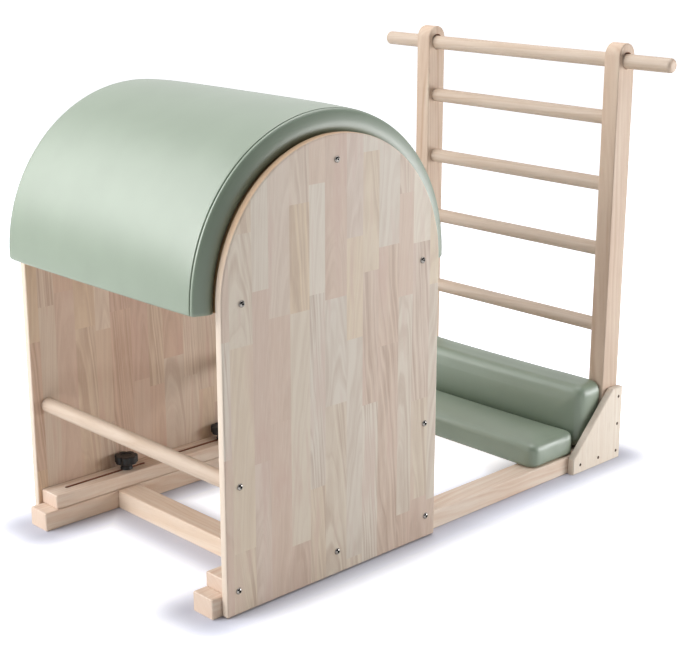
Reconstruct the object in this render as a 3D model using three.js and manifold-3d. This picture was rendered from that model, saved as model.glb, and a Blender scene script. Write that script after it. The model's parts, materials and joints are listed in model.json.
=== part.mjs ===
// Pilates ladder barrel in pale hardwood with padded vinyl.
// Millimetres, +Z up. +X runs from the barrel to the ladder, +Y to the left of someone facing the ladder.
// Lengths along X are measured from the front ends of the base rails. The last lines move the
// origin to the middle of the overall box, on the floor.
import * as THREE from "three";
import * as BufferGeometryUtils from "three/addons/utils/BufferGeometryUtils.js";
import Module from "manifold-3d";

const wasm = await Module();
wasm.setup();

// Fits
const seatGap = 0.3; // left between pieces that touch
const cutOverrun = 2; // how far a cutter runs past the face that it opens
const timberEdge = 3; // softened edges of the square timber
const boardEdge = 2; // softened edges of the panels and plates

// Base frame
const baseWidth = 640; // over the outer faces of the two rails
const railLength = 1290;
const railWidth = 60;
const railHeight = 43;
const crossBeamWidth = 60;
const crossBeamSetback = 195; // of the front beam, from the rails' front ends

// Ladder
const uprightWidth = 43;
const uprightDepth = 59;
const topBarHeight = 981;
const topBarCover = 40; // from the top bar's middle to the uprights' tops
const topBarDiameter = 34;
const topBarLength = 897;
const topBarClearance = 1.6; // round the bar in the uprights' holes
const topBarRounding = 9;
const rungDiameter = 34;
const rungSocketDepth = 20;
const topDrop = 136; // from the top bar to the first rung
const middleDrop = 159;
const lowDrop = 190; // the lowest rung hangs further down

// Gusset plates outside the rails and uprights
const gussetLength = 184;
const gussetHeight = 186;
const gussetNose = 39; // length of the two blunt tips
const gussetThickness = 18;
const gussetScrewInset = 15; // from the back edge
const gussetScrewRise = 20.5; // from the bottom edge
const gussetScrewStep = 71;
const screwHeadRadius = 4.2;
const screwHoleRadius = 2.2;
const countersinkDepth = 2.4;

// Seat and back pads
const seatLength = 169.4; // along the rails
const padThickness = 57; // of the seat, up to where its crown starts
const padCrown = 6;
const padRounding = 14;
const padCorner = 26;
const padPull = 3; // how far a side draws in between its corners
const padSideGap = 2; // from the pad's end to the rail's outer face
const padHem = 5; // vinyl turned under the edge
const backPadThickness = 81;
const backPadHeight = 165;
const backPadRounding = 18;
const boardThickness = 12;
const boardMargin = 10; // from the edge of a pad to the board inside it

// Barrel panels
const panelFront = 23;
const panelRadius = 294;
const springHeight = 626; // where the arch starts
const panelThickness = 18;
const panelFloorGap = 3;
const panelSideGap = 1; // running clearance outside the rails
const cleatBoltInset = 29; // from the panel's edges
const cleatBoltHeight = 53;
const archBoltRadius = 244;
const sideBoltRise = 4; // of the two side bolts, above the start of the arch

// Padded shell of the barrel
const spreaderDepth = 60; // towards the shell
const spreaderWidth = 43;
const shellThickness = 9;
const seamRadius = 338;
const barrelCrown = 3;
const seamInset = 15; // the cushion's ends lean in from the panels to the seam
const rootInset = 12; // and are turned in next to the shell
const barrelOverhang = 12; // how far the padding runs down below the start of the arch
const endRounding = 8;

// Foot bars
const footBarDiameter = 33;
const footBarInset = 37; // from the panel's edges
const footBarHeight = 269;
const dowelChamfer = 1.5;

// Slotted runners under the panels
const runnerFront = 32;
const runnerLength = 576;
const runnerWidth = 59;
const runnerHeight = 32;
const slotFront = 74;
const slotLength = 221;
const slotWidth = 9;
const slotPitch = 286;

// Clamping knobs
const firstStud = 244; // of the front knobs, from the rails' front ends
const studRadius = 4;
const studHoleClearance = 0.4;
const studDepth = 28; // into the rail
const studGrip = 12; // into the knob
const studTip = 1; // chamfer
const hubRadius = 14.5;
const hubHeight = 15;
const hubWaist = 1.5; // how much the hub narrows under the head
const knobRadius = 27;
const knobHeadHeight = 18;
const lobeDepth = 4.5;
const lobeCount = 7;
const knobEdge = 2;
const dishRadius = 13;
const dishDepth = 1.6;

// Panel bolts
const boltHeadRadius = 7;
const boltHeadHeight = 4.2;
const boltRadius = 3.8;
const boltHoleClearance = 0.35;
const boltGrip = 22; // into the wood behind the panel
const socketRadius = 2.6;
const socketDepth = 2.2;

// Places worked out from the sizes above
const railOuterY = baseWidth / 2;
const railInnerY = railOuterY - railWidth;
const railMidY = railOuterY - railWidth / 2;
const ladderHeight = topBarHeight + topBarCover;
const uprightX = railLength - uprightDepth / 2;
const uprightFaceX = railLength - uprightDepth;
const uprightInnerY = railOuterY - uprightWidth;
const panelInnerY = railOuterY + panelSideGap;
const panelOuterY = panelInnerY + panelThickness;
const barrelX = panelFront + panelRadius;
const panelBackX = panelFront + panelRadius * 2;
const betweenPanels = (panelInnerY - seatGap) * 2;
const runnerY = panelInnerY - seatGap - runnerWidth / 2;
const runnerTop = railHeight + seatGap + runnerHeight;
const sideBoltHeight = springHeight + sideBoltRise;
const spreaderReach = archBoltRadius + spreaderDepth / 2;
const shellInner = Math.hypot(spreaderReach, spreaderWidth / 2 + sideBoltRise) + seatGap;
const shellOuter = shellInner + shellThickness;
const paddingInner = shellOuter + seatGap;
const paddingOuter = seamRadius + barrelCrown;
const studXs = [firstStud, firstStud + slotPitch];
const slotFronts = [slotFront, slotFront + slotPitch];
const footBarXs = [panelFront + footBarInset, panelBackX - footBarInset];
const sides = [
  { name: "right", sign: -1 },
  { name: "left", sign: 1 },
];

// Materials
function finish(color, roughness, metalness) {
  return new THREE.MeshStandardMaterial({ color, roughness, metalness });
}
const paleWood = finish("#dccbb9", 0.55, 0);
const panelWood = finish("#cdbfb0", 0.55, 0);
const dowelWood = finish("#e2cfb8", 0.5, 0);
const vinyl = finish("#a3b5a4", 0.45, 0);
const blackPlastic = finish("#1c1c1d", 0.5, 0);
const brightSteel = finish("#c9c9cb", 0.25, 1);
const plywood = finish("#cdb08a", 0.65, 0);

// Shape helpers
const archSteps = 32; // facets round the barrel's half circle
const stepsPerCurveSegment = 2; // an outline's arc has two facets for each of its curve segments
const archSegments = archSteps / stepsPerCurveSegment;

function closedGeometry(geometry) {
  const bare = geometry.clone();
  bare.deleteAttribute("normal");
  bare.deleteAttribute("uv");
  const merged = BufferGeometryUtils.mergeVertices(bare);
  const corners = merged.index.array;
  const kept = [];
  for (let i = 0; i < corners.length; i += 3) {
    const [a, b, c] = corners.slice(i, i + 3);
    if (a !== b && b !== c && c !== a) kept.push(a, b, c);
  }
  return merged.setIndex(kept);
}

function solid(geometry) {
  const closed = closedGeometry(geometry);
  return new wasm.Manifold(
    new wasm.Mesh({
      numProp: 3,
      vertProperties: new Float32Array(closed.attributes.position.array),
      triVerts: new Uint32Array(closed.index.array),
    }),
  );
}

function geometryOf(body) {
  const { vertProperties, triVerts } = body.getMesh();
  const geometry = new THREE.BufferGeometry();
  geometry.setAttribute("position", new THREE.BufferAttribute(vertProperties, 3));
  geometry.setIndex(new THREE.BufferAttribute(triVerts, 1));
  return geometry;
}

function cut(geometry, cutters) {
  return geometryOf(cutters.reduce((body, cutter) => body.subtract(solid(cutter)), solid(geometry)));
}

function roundedRectangle(width, height, radius) {
  const x = width / 2 - radius;
  const y = height / 2 - radius;
  const shape = new THREE.Shape();
  shape.absarc(x, y, radius, 0, Math.PI / 2);
  shape.absarc(-x, y, radius, Math.PI / 2, Math.PI);
  shape.absarc(-x, -y, radius, Math.PI, Math.PI * 1.5);
  shape.absarc(x, -y, radius, Math.PI * 1.5, Math.PI * 2);
  return shape;
}

// Extrudes an outline to a thickness with softened edges, centred on its own plane.
function softPlate(shape, thickness, edge, curveSegments) {
  const geometry = new THREE.ExtrudeGeometry(shape, {
    depth: thickness - edge * 2,
    bevelThickness: edge,
    bevelSize: edge,
    bevelOffset: -edge,
    bevelSegments: 1,
    curveSegments,
  });
  return geometry.translate(0, 0, edge - thickness / 2);
}

// Square timber along X, centred, with all its edges softened.
function timber(length, width, height) {
  const section = roundedRectangle(height, width, timberEdge);
  return softPlate(section, length, boardEdge, 2).rotateY(Math.PI / 2);
}

// An outline drawn in X and Z, extruded across Y.
function uprightPlate(shape, thickness, edge, curveSegments) {
  return softPlate(shape, thickness, edge, curveSegments).rotateX(Math.PI / 2);
}

function rod(radius, length, segments) {
  return new THREE.CylinderGeometry(radius, radius, length, segments);
}

// A round bar along Y with chamfered or rounded ends.
function roundBar(radius, length, rounding, steps, segments) {
  const half = length / 2;
  const profile = [new THREE.Vector2(0, -half)];
  for (let i = 0; i <= steps; i++) {
    const angle = (i / steps) * (Math.PI / 2);
    const inset = rounding * (1 - Math.sin(angle));
    const back = rounding * (1 - Math.cos(angle));
    profile.push(new THREE.Vector2(radius - inset, back - half));
  }
  const mirrored = profile.map((point) => new THREE.Vector2(point.x, -point.y)).reverse();
  return new THREE.LatheGeometry([...profile, ...mirrored], segments);
}

// Skins a stack of rings that have the same number of points, and closes both ends on their middles.
function loft(rings) {
  const count = rings[0].length;
  const middle = (ring) => {
    const sum = ring.reduce((total, point) => total.add(point), new THREE.Vector3());
    return sum.divideScalar(count);
  };
  const vertices = [...rings.flat(), middle(rings[0]), middle(rings[rings.length - 1])];
  const first = rings.length * count;
  const index = [];
  for (let j = 0; j < count; j++) {
    const next = (j + 1) % count;
    for (let i = 0; i + 1 < rings.length; i++) {
      const low = i * count;
      const high = low + count;
      index.push(low + j, low + next, high + next, low + j, high + next, high + j);
    }
    const last = (rings.length - 1) * count;
    index.push(first, next, j, first + 1, last + j, last + next);
  }
  const geometry = new THREE.BufferGeometry();
  geometry.setAttribute(
    "position",
    new THREE.Float32BufferAttribute(vertices.flatMap((point) => point.toArray()), 3),
  );
  geometry.setIndex(index);
  return geometry;
}

// The plan of a pad: a rectangle with round corners whose sides draw in between them.
function padOutline(length, width, corner, inset, pull, height) {
  const arcSteps = 4;
  const sideSteps = 4;
  const radius = Math.max(corner - inset, corner / 4);
  const halfLength = length / 2 - inset - radius;
  const halfWidth = width / 2 - inset - radius;
  const ring = [];
  const corners = [
    [halfLength, halfWidth],
    [-halfLength, halfWidth],
    [-halfLength, -halfWidth],
    [halfLength, -halfWidth],
  ];
  corners.forEach(([x, y], k) => {
    for (let i = 0; i <= arcSteps; i++) {
      const angle = ((k + i / arcSteps) * Math.PI) / 2;
      ring.push(new THREE.Vector3(x + radius * Math.cos(angle), y + radius * Math.sin(angle), height));
    }
    const outward = ((k + 1) * Math.PI) / 2;
    const normal = new THREE.Vector3(Math.cos(outward), Math.sin(outward), 0);
    const from = ring[ring.length - 1];
    const [nextX, nextY] = corners[(k + 1) % corners.length];
    const to = new THREE.Vector3(
      nextX + radius * Math.cos(outward),
      nextY + radius * Math.sin(outward),
      height,
    );
    for (let i = 1; i < sideSteps; i++) {
      const share = i / sideSteps;
      const drawn = pull * 4 * share * (1 - share);
      const point = from.clone().lerp(to, share);
      ring.push(point.addScaledVector(normal, -drawn));
    }
  });
  return ring;
}

// An upholstered block on the plane z = 0: turned-under hem, upright sides, rounded top edge, crown.
function paddedBlock(length, width, thickness, rounding) {
  const rings = [
    padOutline(length, width, padCorner, padHem, 0, 0),
    padOutline(length, width, padCorner, 0, padPull, padHem),
  ];
  const shoulder = thickness - rounding;
  const roundSteps = 4;
  for (let i = 0; i <= roundSteps; i++) {
    const angle = (i / roundSteps) * (Math.PI / 2);
    const inset = rounding * (1 - Math.cos(angle));
    const height = shoulder + rounding * Math.sin(angle);
    rings.push(padOutline(length, width, padCorner, inset, padPull, height));
  }
  const reach = Math.min(length, width) / 2 - rounding;
  const crownShares = [0.35, 0.7, 0.96];
  for (const share of crownShares) {
    const height = thickness + padCrown * (1 - (1 - share) ** 2);
    const inset = rounding + reach * share;
    const pull = padPull * (1 - share);
    rings.push(padOutline(length, width, padCorner, inset, pull, height));
  }
  return loft(rings);
}

// Assembly
const assembly = new THREE.Group();

function place(parent, name, geometry, material, x, y, z) {
  const mesh = new THREE.Mesh(geometry, material);
  mesh.name = name;
  mesh.position.set(x, y, z);
  parent.add(mesh);
  return mesh;
}

// Base: two rails joined by a beam at the front and one between the uprights.
function buildBase() {
  const base = new THREE.Group();
  const holeRadius = studRadius + studHoleClearance;
  const holeDepth = studDepth + cutOverrun;
  for (const side of sides) {
    const holes = studXs.map((x) =>
      rod(holeRadius, holeDepth * 2, 12)
        .rotateX(Math.PI / 2)
        .translate(x - railLength / 2, (runnerY - railMidY) * side.sign, railHeight / 2),
    );
    const rail = cut(timber(railLength, railWidth, railHeight), holes);
    const y = railMidY * side.sign;
    place(base, `base_rail_${side.name}`, rail, paleWood, railLength / 2, y, railHeight / 2);
  }
  const beamLength = (railInnerY - seatGap) * 2;
  const beam = timber(beamLength, crossBeamWidth, railHeight).rotateZ(Math.PI / 2);
  const frontX = crossBeamSetback + crossBeamWidth / 2;
  place(base, "front_cross_beam", beam, paleWood, frontX, 0, railHeight / 2);
  const rearX = railLength - crossBeamWidth / 2;
  place(base, "rear_cross_beam", beam, paleWood, rearX, 0, railHeight / 2);
  return base;
}

// An upright stands on its rail. Its top is a half circle round the bar that passes through it.
function uprightGeometry(side, rungHeights) {
  const foot = railHeight + seatGap;
  const half = uprightDepth / 2;
  const shape = new THREE.Shape();
  shape.moveTo(-half, foot);
  shape.lineTo(half, foot);
  shape.absarc(0, ladderHeight - half, half, 0, Math.PI);
  const socketRadius = rungDiameter / 2 + seatGap;
  const sockets = rungHeights.map((height) =>
    rod(socketRadius, rungSocketDepth * 2, 24).translate(0, (-uprightWidth / 2) * side.sign, height),
  );
  const barHole = rod(topBarDiameter / 2 + topBarClearance, uprightWidth + cutOverrun * 2, 24);
  sockets.push(barHole.translate(0, 0, topBarHeight));
  return cut(uprightPlate(shape, uprightWidth, timberEdge, 7), sockets);
}

function buildLadder() {
  const ladder = new THREE.Group();
  const drops = [topDrop, middleDrop, middleDrop, lowDrop];
  const rungHeights = [];
  let height = topBarHeight;
  for (const drop of drops) {
    height -= drop;
    rungHeights.push(height);
  }
  const uprightY = railOuterY - uprightWidth / 2;
  for (const side of sides) {
    const geometry = uprightGeometry(side, rungHeights);
    place(ladder, `ladder_upright_${side.name}`, geometry, paleWood, uprightX, uprightY * side.sign, 0);
  }
  const rungLength = (uprightInnerY + rungSocketDepth - seatGap) * 2;
  rungHeights.forEach((rungHeight, i) => {
    const rung = roundBar(rungDiameter / 2, rungLength, dowelChamfer, 1, 24);
    place(ladder, `ladder_rung_${i + 1}`, rung, dowelWood, uprightX, 0, rungHeight);
  });
  const topBar = roundBar(topBarDiameter / 2, topBarLength, topBarRounding, 3, 24);
  const lieHeight = topBarHeight - (topBarClearance - seatGap);
  place(ladder, "top_bar", topBar, dowelWood, uprightX, 0, lieHeight);
  return ladder;
}

// A gusset plate: a right triangle with blunt tips and five countersunk holes.
function buildGussets() {
  const gussets = new THREE.Group();
  const shape = new THREE.Shape();
  shape.moveTo(-gussetLength, 0);
  shape.lineTo(0, 0);
  shape.lineTo(0, gussetHeight);
  shape.lineTo(-gussetNose, gussetHeight);
  shape.lineTo(-gussetLength, gussetNose);
  const screws = [0, 1, 2].map((i) => [0, i]).concat([[1, 0], [2, 0]]);
  for (const side of sides) {
    const cutters = screws.flatMap(([back, up]) => {
      const x = -gussetScrewInset - gussetScrewStep * back;
      const z = gussetScrewRise + gussetScrewStep * up;
      const through = rod(screwHoleRadius, gussetThickness + cutOverrun * 2, 8);
      const wide = screwHeadRadius + (screwHeadRadius - screwHoleRadius) * (cutOverrun / countersinkDepth);
      const sink = new THREE.CylinderGeometry(wide, screwHoleRadius, countersinkDepth + cutOverrun, 12);
      sink.translate(0, (cutOverrun - countersinkDepth) / 2, 0);
      if (side.sign < 0) sink.rotateX(Math.PI);
      return [
        through.translate(x, 0, z),
        sink.translate(x, (gussetThickness / 2) * side.sign, z),
      ];
    });
    const plate = cut(uprightPlate(shape, gussetThickness, boardEdge, 1), cutters);
    const y = railOuterY + seatGap + gussetThickness / 2;
    place(gussets, `gusset_plate_${side.name}`, plate, paleWood, railLength, y * side.sign, 0);
  }
  return gussets;
}

// A pad wraps over its board, which has round corners and fills a pocket in the pad's underside.
function boardInPad(length, width, thickness, rounding) {
  const plate = (gap, depth) => {
    const inset = boardMargin - gap;
    const shape = roundedRectangle(length - inset * 2, width - inset * 2, padCorner - inset);
    const geometry = new THREE.ExtrudeGeometry(shape, { depth, bevelEnabled: false, curveSegments: 6 });
    return geometry.translate(0, 0, -depth / 2);
  };
  const board = plate(0, boardThickness);
  const pocket = plate(seatGap, (boardThickness + seatGap) * 2);
  return { board, pad: cut(paddedBlock(length, width, thickness, rounding), [pocket]) };
}

function buildPads() {
  const pads = new THREE.Group();
  const padWidth = baseWidth - padSideGap * 2;
  const floor = railHeight + seatGap;
  const backFaceX = uprightFaceX - seatGap;
  const seatBack = backFaceX - backPadThickness - padCrown - seatGap;
  const seat = boardInPad(seatLength, padWidth, padThickness, padRounding);
  const seatX = seatBack - seatLength / 2;
  place(pads, "seat_board", seat.board, plywood, seatX, 0, floor + boardThickness / 2);
  place(pads, "seat_pad", seat.pad, vinyl, seatX, 0, floor);
  const back = boardInPad(backPadHeight, padWidth, backPadThickness, backPadRounding);
  const backZ = floor + backPadHeight / 2;
  const turned = -Math.PI / 2;
  const boardX = backFaceX - boardThickness / 2;
  place(pads, "back_board", back.board, plywood, boardX, 0, backZ).rotation.y = turned;
  place(pads, "back_pad", back.pad, vinyl, backFaceX, 0, backZ).rotation.y = turned;
  return pads;
}

// Where the bolts pass through a panel, as places in X and Z and what each one holds.
function panelBolts() {
  const runnerXs = [panelFront + cleatBoltInset, barrelX, panelBackX - cleatBoltInset];
  const runnerBolts = runnerXs.map((x) => ({ x, z: cleatBoltHeight, holds: "runner" }));
  const footBolts = footBarXs.map((x) => ({ x, z: footBarHeight, holds: "foot_bar" }));
  const archBolts = [
    { x: barrelX - archBoltRadius, z: sideBoltHeight, holds: "spreader" },
    { x: barrelX, z: springHeight + archBoltRadius, holds: "spreader" },
    { x: barrelX + archBoltRadius, z: sideBoltHeight, holds: "spreader" },
  ];
  return [...runnerBolts, ...footBolts, ...archBolts];
}

function boltHole(length) {
  return rod(boltRadius + boltHoleClearance, length, 10);
}

// Holes in both ends of a piece that spans the panels.
function endHoles(length) {
  const depth = boltGrip + cutOverrun;
  return [-1, 1].map((sign) => boltHole(depth * 2).translate(0, (length / 2) * sign, 0));
}

function buildPanels() {
  const panels = new THREE.Group();
  const shape = new THREE.Shape();
  shape.moveTo(-panelRadius, panelFloorGap);
  shape.lineTo(panelRadius, panelFloorGap);
  shape.absarc(0, springHeight, panelRadius, 0, Math.PI);
  const through = panelThickness + cutOverrun * 2;
  const holes = panelBolts().map(({ x, z }) => boltHole(through).translate(x - barrelX, 0, z));
  const panel = cut(uprightPlate(shape, panelThickness, boardEdge, archSteps), holes);
  for (const side of sides) {
    const y = (panelInnerY + panelThickness / 2) * side.sign;
    place(panels, `side_panel_${side.name}`, panel, panelWood, barrelX, y, 0);
  }
  return panels;
}

// Stops along the padding: up one leg, round the arch and down the other leg. Each stop has its angle
// round the arch, its drop below the start of the arch, and how far it is from the nearer end.
function archStops(legStops) {
  const stops = [];
  for (const drop of legStops) {
    stops.push({ angle: 0, drop, fromEnd: barrelOverhang - drop });
  }
  for (let i = 0; i <= archSteps; i++) {
    stops.push({ angle: (i / archSteps) * Math.PI, drop: 0, fromEnd: barrelOverhang });
  }
  for (const drop of [...legStops].reverse()) {
    stops.push({ angle: Math.PI, drop, fromEnd: barrelOverhang - drop });
  }
  return stops;
}

// The padding: its ends are turned in next to the shell and lean in towards the seam, its top is
// crowned and its two lower edges are rounded.
function paddingGeometry() {
  const halfBase = betweenPanels / 2;
  const halfSeam = halfBase - seamInset;
  const thickness = seamRadius - paddingInner;
  const endShares = [0, 0.12, 0.3, 0.55, 0.8, 0.92, 1];
  const crownShares = [-0.86, -0.55, 0, 0.55, 0.86];
  const face = endShares.map((share) => ({
    y: halfBase - rootInset * (1 - share) ** 6 - seamInset * share ** 3,
    rise: thickness * share,
  }));
  const section = [
    ...face.map(({ y, rise }) => ({ y: -y, rise })),
    ...crownShares.map((share) => ({
      y: halfSeam * share,
      rise: thickness + barrelCrown * (1 - share ** 4),
    })),
    ...face.map(({ y, rise }) => ({ y, rise })).reverse(),
  ];
  const roundShares = [0, 0.3, 0.65, 1];
  const legStops = roundShares.map((share) => barrelOverhang - endRounding * share);
  const rings = archStops(legStops).map(({ angle, drop, fromEnd }) => {
    const along = Math.min(fromEnd / endRounding, 1);
    const drawn = endRounding * (1 - Math.sqrt(1 - (1 - along) ** 2));
    return section.map(({ y, rise }) => {
      const radius = paddingInner + rise * (1 - drawn / thickness);
      const width = 1 - ((drawn / halfBase) * rise) / thickness;
      return new THREE.Vector3(
        radius * Math.cos(angle),
        y * width,
        radius * Math.sin(angle) - drop,
      );
    });
  });
  return loft(rings);
}

// The bent plywood shell under the padding.
function shellGeometry() {
  const shape = new THREE.Shape();
  shape.moveTo(shellInner, -barrelOverhang);
  shape.lineTo(shellOuter, -barrelOverhang);
  shape.absarc(0, 0, shellOuter, 0, Math.PI);
  shape.lineTo(-shellOuter, -barrelOverhang);
  shape.lineTo(-shellInner, -barrelOverhang);
  shape.absarc(0, 0, shellInner, Math.PI, 0, true);
  const geometry = new THREE.ExtrudeGeometry(shape, {
    depth: betweenPanels,
    bevelEnabled: false,
    curveSegments: archSegments,
  });
  return geometry.translate(0, 0, -betweenPanels / 2).rotateX(Math.PI / 2);
}

function buildBarrelTop() {
  const top = new THREE.Group();
  place(top, "barrel_shell", shellGeometry(), plywood, barrelX, 0, springHeight);
  place(top, "barrel_cushion", paddingGeometry(), vinyl, barrelX, 0, springHeight);
  const spreaders = [
    { name: "front", x: -archBoltRadius, z: sideBoltRise, depth: spreaderDepth, height: spreaderWidth },
    { name: "top", x: 0, z: archBoltRadius, depth: spreaderWidth, height: spreaderDepth },
    { name: "rear", x: archBoltRadius, z: sideBoltRise, depth: spreaderDepth, height: spreaderWidth },
  ];
  for (const { name, x, z, depth, height } of spreaders) {
    const bar = timber(betweenPanels, depth, height).rotateZ(Math.PI / 2);
    const bored = cut(bar, endHoles(betweenPanels));
    place(top, `spreader_${name}`, bored, paleWood, barrelX + x, 0, springHeight + z);
  }
  return top;
}

function buildFootBars() {
  const bars = new THREE.Group();
  const bar = roundBar(footBarDiameter / 2, betweenPanels, dowelChamfer, 1, 24);
  const bored = cut(bar, endHoles(betweenPanels));
  ["front", "rear"].forEach((name, i) => {
    place(bars, `foot_bar_${name}`, bored, dowelWood, footBarXs[i], 0, footBarHeight);
  });
  return bars;
}

// A runner rides on its rail. The clamping studs stand up through its two slots.
function buildRunners() {
  const runners = new THREE.Group();
  const middle = runnerFront + runnerLength / 2;
  const slotShape = new THREE.Shape();
  const straight = (slotLength - slotWidth) / 2;
  slotShape.absarc(straight, 0, slotWidth / 2, -Math.PI / 2, Math.PI / 2);
  slotShape.absarc(-straight, 0, slotWidth / 2, Math.PI / 2, Math.PI * 1.5);
  const deep = runnerHeight + cutOverrun * 2;
  const boltXs = panelBolts().filter(({ holds }) => holds === "runner").map(({ x }) => x);
  const boltZ = cleatBoltHeight - (railHeight + seatGap + runnerHeight / 2);
  for (const side of sides) {
    const slots = slotFronts.map((front) =>
      new THREE.ExtrudeGeometry(slotShape, { depth: deep, bevelEnabled: false, curveSegments: 5 })
        .translate(front + slotLength / 2 - middle, 0, -deep / 2),
    );
    const holes = boltXs.map((x) =>
      boltHole((boltGrip + cutOverrun) * 2).translate(x - middle, (runnerWidth / 2) * side.sign, boltZ),
    );
    const runner = cut(timber(runnerLength, runnerWidth, runnerHeight), [...slots, ...holes]);
    const z = railHeight + seatGap + runnerHeight / 2;
    place(runners, `slotted_runner_${side.name}`, runner, paleWood, middle, runnerY * side.sign, z);
  }
  return runners;
}

// A domed bolt along -Y: its head's flat underside is at y = 0 and the shank runs towards +Y.
function boltGeometry() {
  const shank = panelThickness + panelSideGap + boltGrip - seatGap;
  const domeSteps = 3;
  const profile = [new THREE.Vector2(0, shank), new THREE.Vector2(boltRadius, shank)];
  profile.push(new THREE.Vector2(boltRadius, 0), new THREE.Vector2(boltHeadRadius, 0));
  for (let i = 1; i < domeSteps; i++) {
    const angle = (i / domeSteps) * (Math.PI / 2);
    profile.push(
      new THREE.Vector2(boltHeadRadius * Math.cos(angle), -boltHeadHeight * Math.sin(angle)),
    );
  }
  profile.push(new THREE.Vector2(0, -boltHeadHeight));
  const body = new THREE.LatheGeometry(profile.reverse(), 10);
  const socket = rod(socketRadius, socketDepth * 2, 6).translate(0, -boltHeadHeight, 0);
  return cut(body, [socket]);
}

function buildPanelBolts() {
  const bolts = new THREE.Group();
  const geometry = boltGeometry();
  const counts = {};
  for (const { x, z, holds } of panelBolts()) {
    counts[holds] = (counts[holds] ?? 0) + 1;
    for (const side of sides) {
      const name = `bolt_${holds}_${counts[holds]}_${side.name}`;
      const y = (panelOuterY + seatGap) * side.sign;
      const bolt = place(bolts, name, geometry, brightSteel, x, y, z);
      if (side.sign > 0) bolt.rotation.z = Math.PI;
    }
  }
  return bolts;
}

// The star knob: a lobed head with a dished top on a waisted hub, bored for its stud.
function knobGeometry() {
  const pointsPerLobe = 6;
  const shape = new THREE.Shape();
  const count = lobeCount * pointsPerLobe;
  for (let i = 0; i < count; i++) {
    const angle = (i / count) * Math.PI * 2;
    const valley = Math.sqrt((1 - Math.cos(angle * lobeCount)) / 2);
    const radius = knobRadius - lobeDepth * (1 - valley) ** 1.5;
    const point = [radius * Math.cos(angle), radius * Math.sin(angle)];
    if (i === 0) shape.moveTo(...point);
    else shape.lineTo(...point);
  }
  const head = softPlate(shape, knobHeadHeight, knobEdge, 1);
  head.translate(0, 0, hubHeight + knobHeadHeight / 2);
  const hubTop = hubHeight + knobEdge;
  const hubProfile = [
    new THREE.Vector2(0, 0),
    new THREE.Vector2(hubRadius, 0),
    new THREE.Vector2(hubRadius - hubWaist, hubHeight / 2),
    new THREE.Vector2(hubRadius, hubTop),
    new THREE.Vector2(0, hubTop),
  ];
  const hub = new THREE.LatheGeometry(hubProfile, 16).rotateX(Math.PI / 2);
  const knobTop = hubHeight + knobHeadHeight;
  const dish = rod(dishRadius, dishDepth * 2, 16).rotateX(Math.PI / 2).translate(0, 0, knobTop);
  const bore = rod(studRadius + seatGap, (studGrip + seatGap) * 2, 12).rotateX(Math.PI / 2);
  return geometryOf(solid(head).add(solid(hub)).subtract(solid(dish)).subtract(solid(bore)));
}

function studGeometry(length) {
  const profile = [
    new THREE.Vector2(0, 0),
    new THREE.Vector2(studRadius - studTip, 0),
    new THREE.Vector2(studRadius, studTip),
    new THREE.Vector2(studRadius, length),
    new THREE.Vector2(0, length),
  ];
  return new THREE.LatheGeometry(profile, 12).rotateX(Math.PI / 2);
}

function buildKnobs() {
  const knobs = new THREE.Group();
  const knob = knobGeometry();
  const knobFoot = runnerTop + seatGap;
  const studFoot = railHeight - studDepth;
  const stud = studGeometry(knobFoot + studGrip - studFoot);
  ["front", "rear"].forEach((end, i) => {
    for (const side of sides) {
      const y = runnerY * side.sign;
      place(knobs, `clamp_stud_${end}_${side.name}`, stud, brightSteel, studXs[i], y, studFoot);
      place(knobs, `star_knob_${end}_${side.name}`, knob, blackPlastic, studXs[i], y, knobFoot);
    }
  });
  return knobs;
}

assembly.add(buildBase(), buildLadder(), buildGussets(), buildPads());
assembly.add(buildPanels(), buildBarrelTop(), buildFootBars(), buildRunners());
assembly.add(buildPanelBolts(), buildKnobs());

// The overall box runs from the padding's front to the rails' back ends.
const boxFrontX = Math.min(barrelX - paddingOuter, 0);
assembly.position.x = -(boxFrontX + railLength) / 2;

export default assembly;
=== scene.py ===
# %% [markdown]
# # A pilates ladder barrel in Blender
# The object is a padded half drum between two arched wooden panels. It slides on two rails towards a
# ladder, and four star knobs clamp it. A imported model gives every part's real size and place, and this
# lesson dresses it: solid wood, turned dowels, upholstery, bolts and knobs, in a plain studio.

# %% Load the frame
import json
import math

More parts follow.
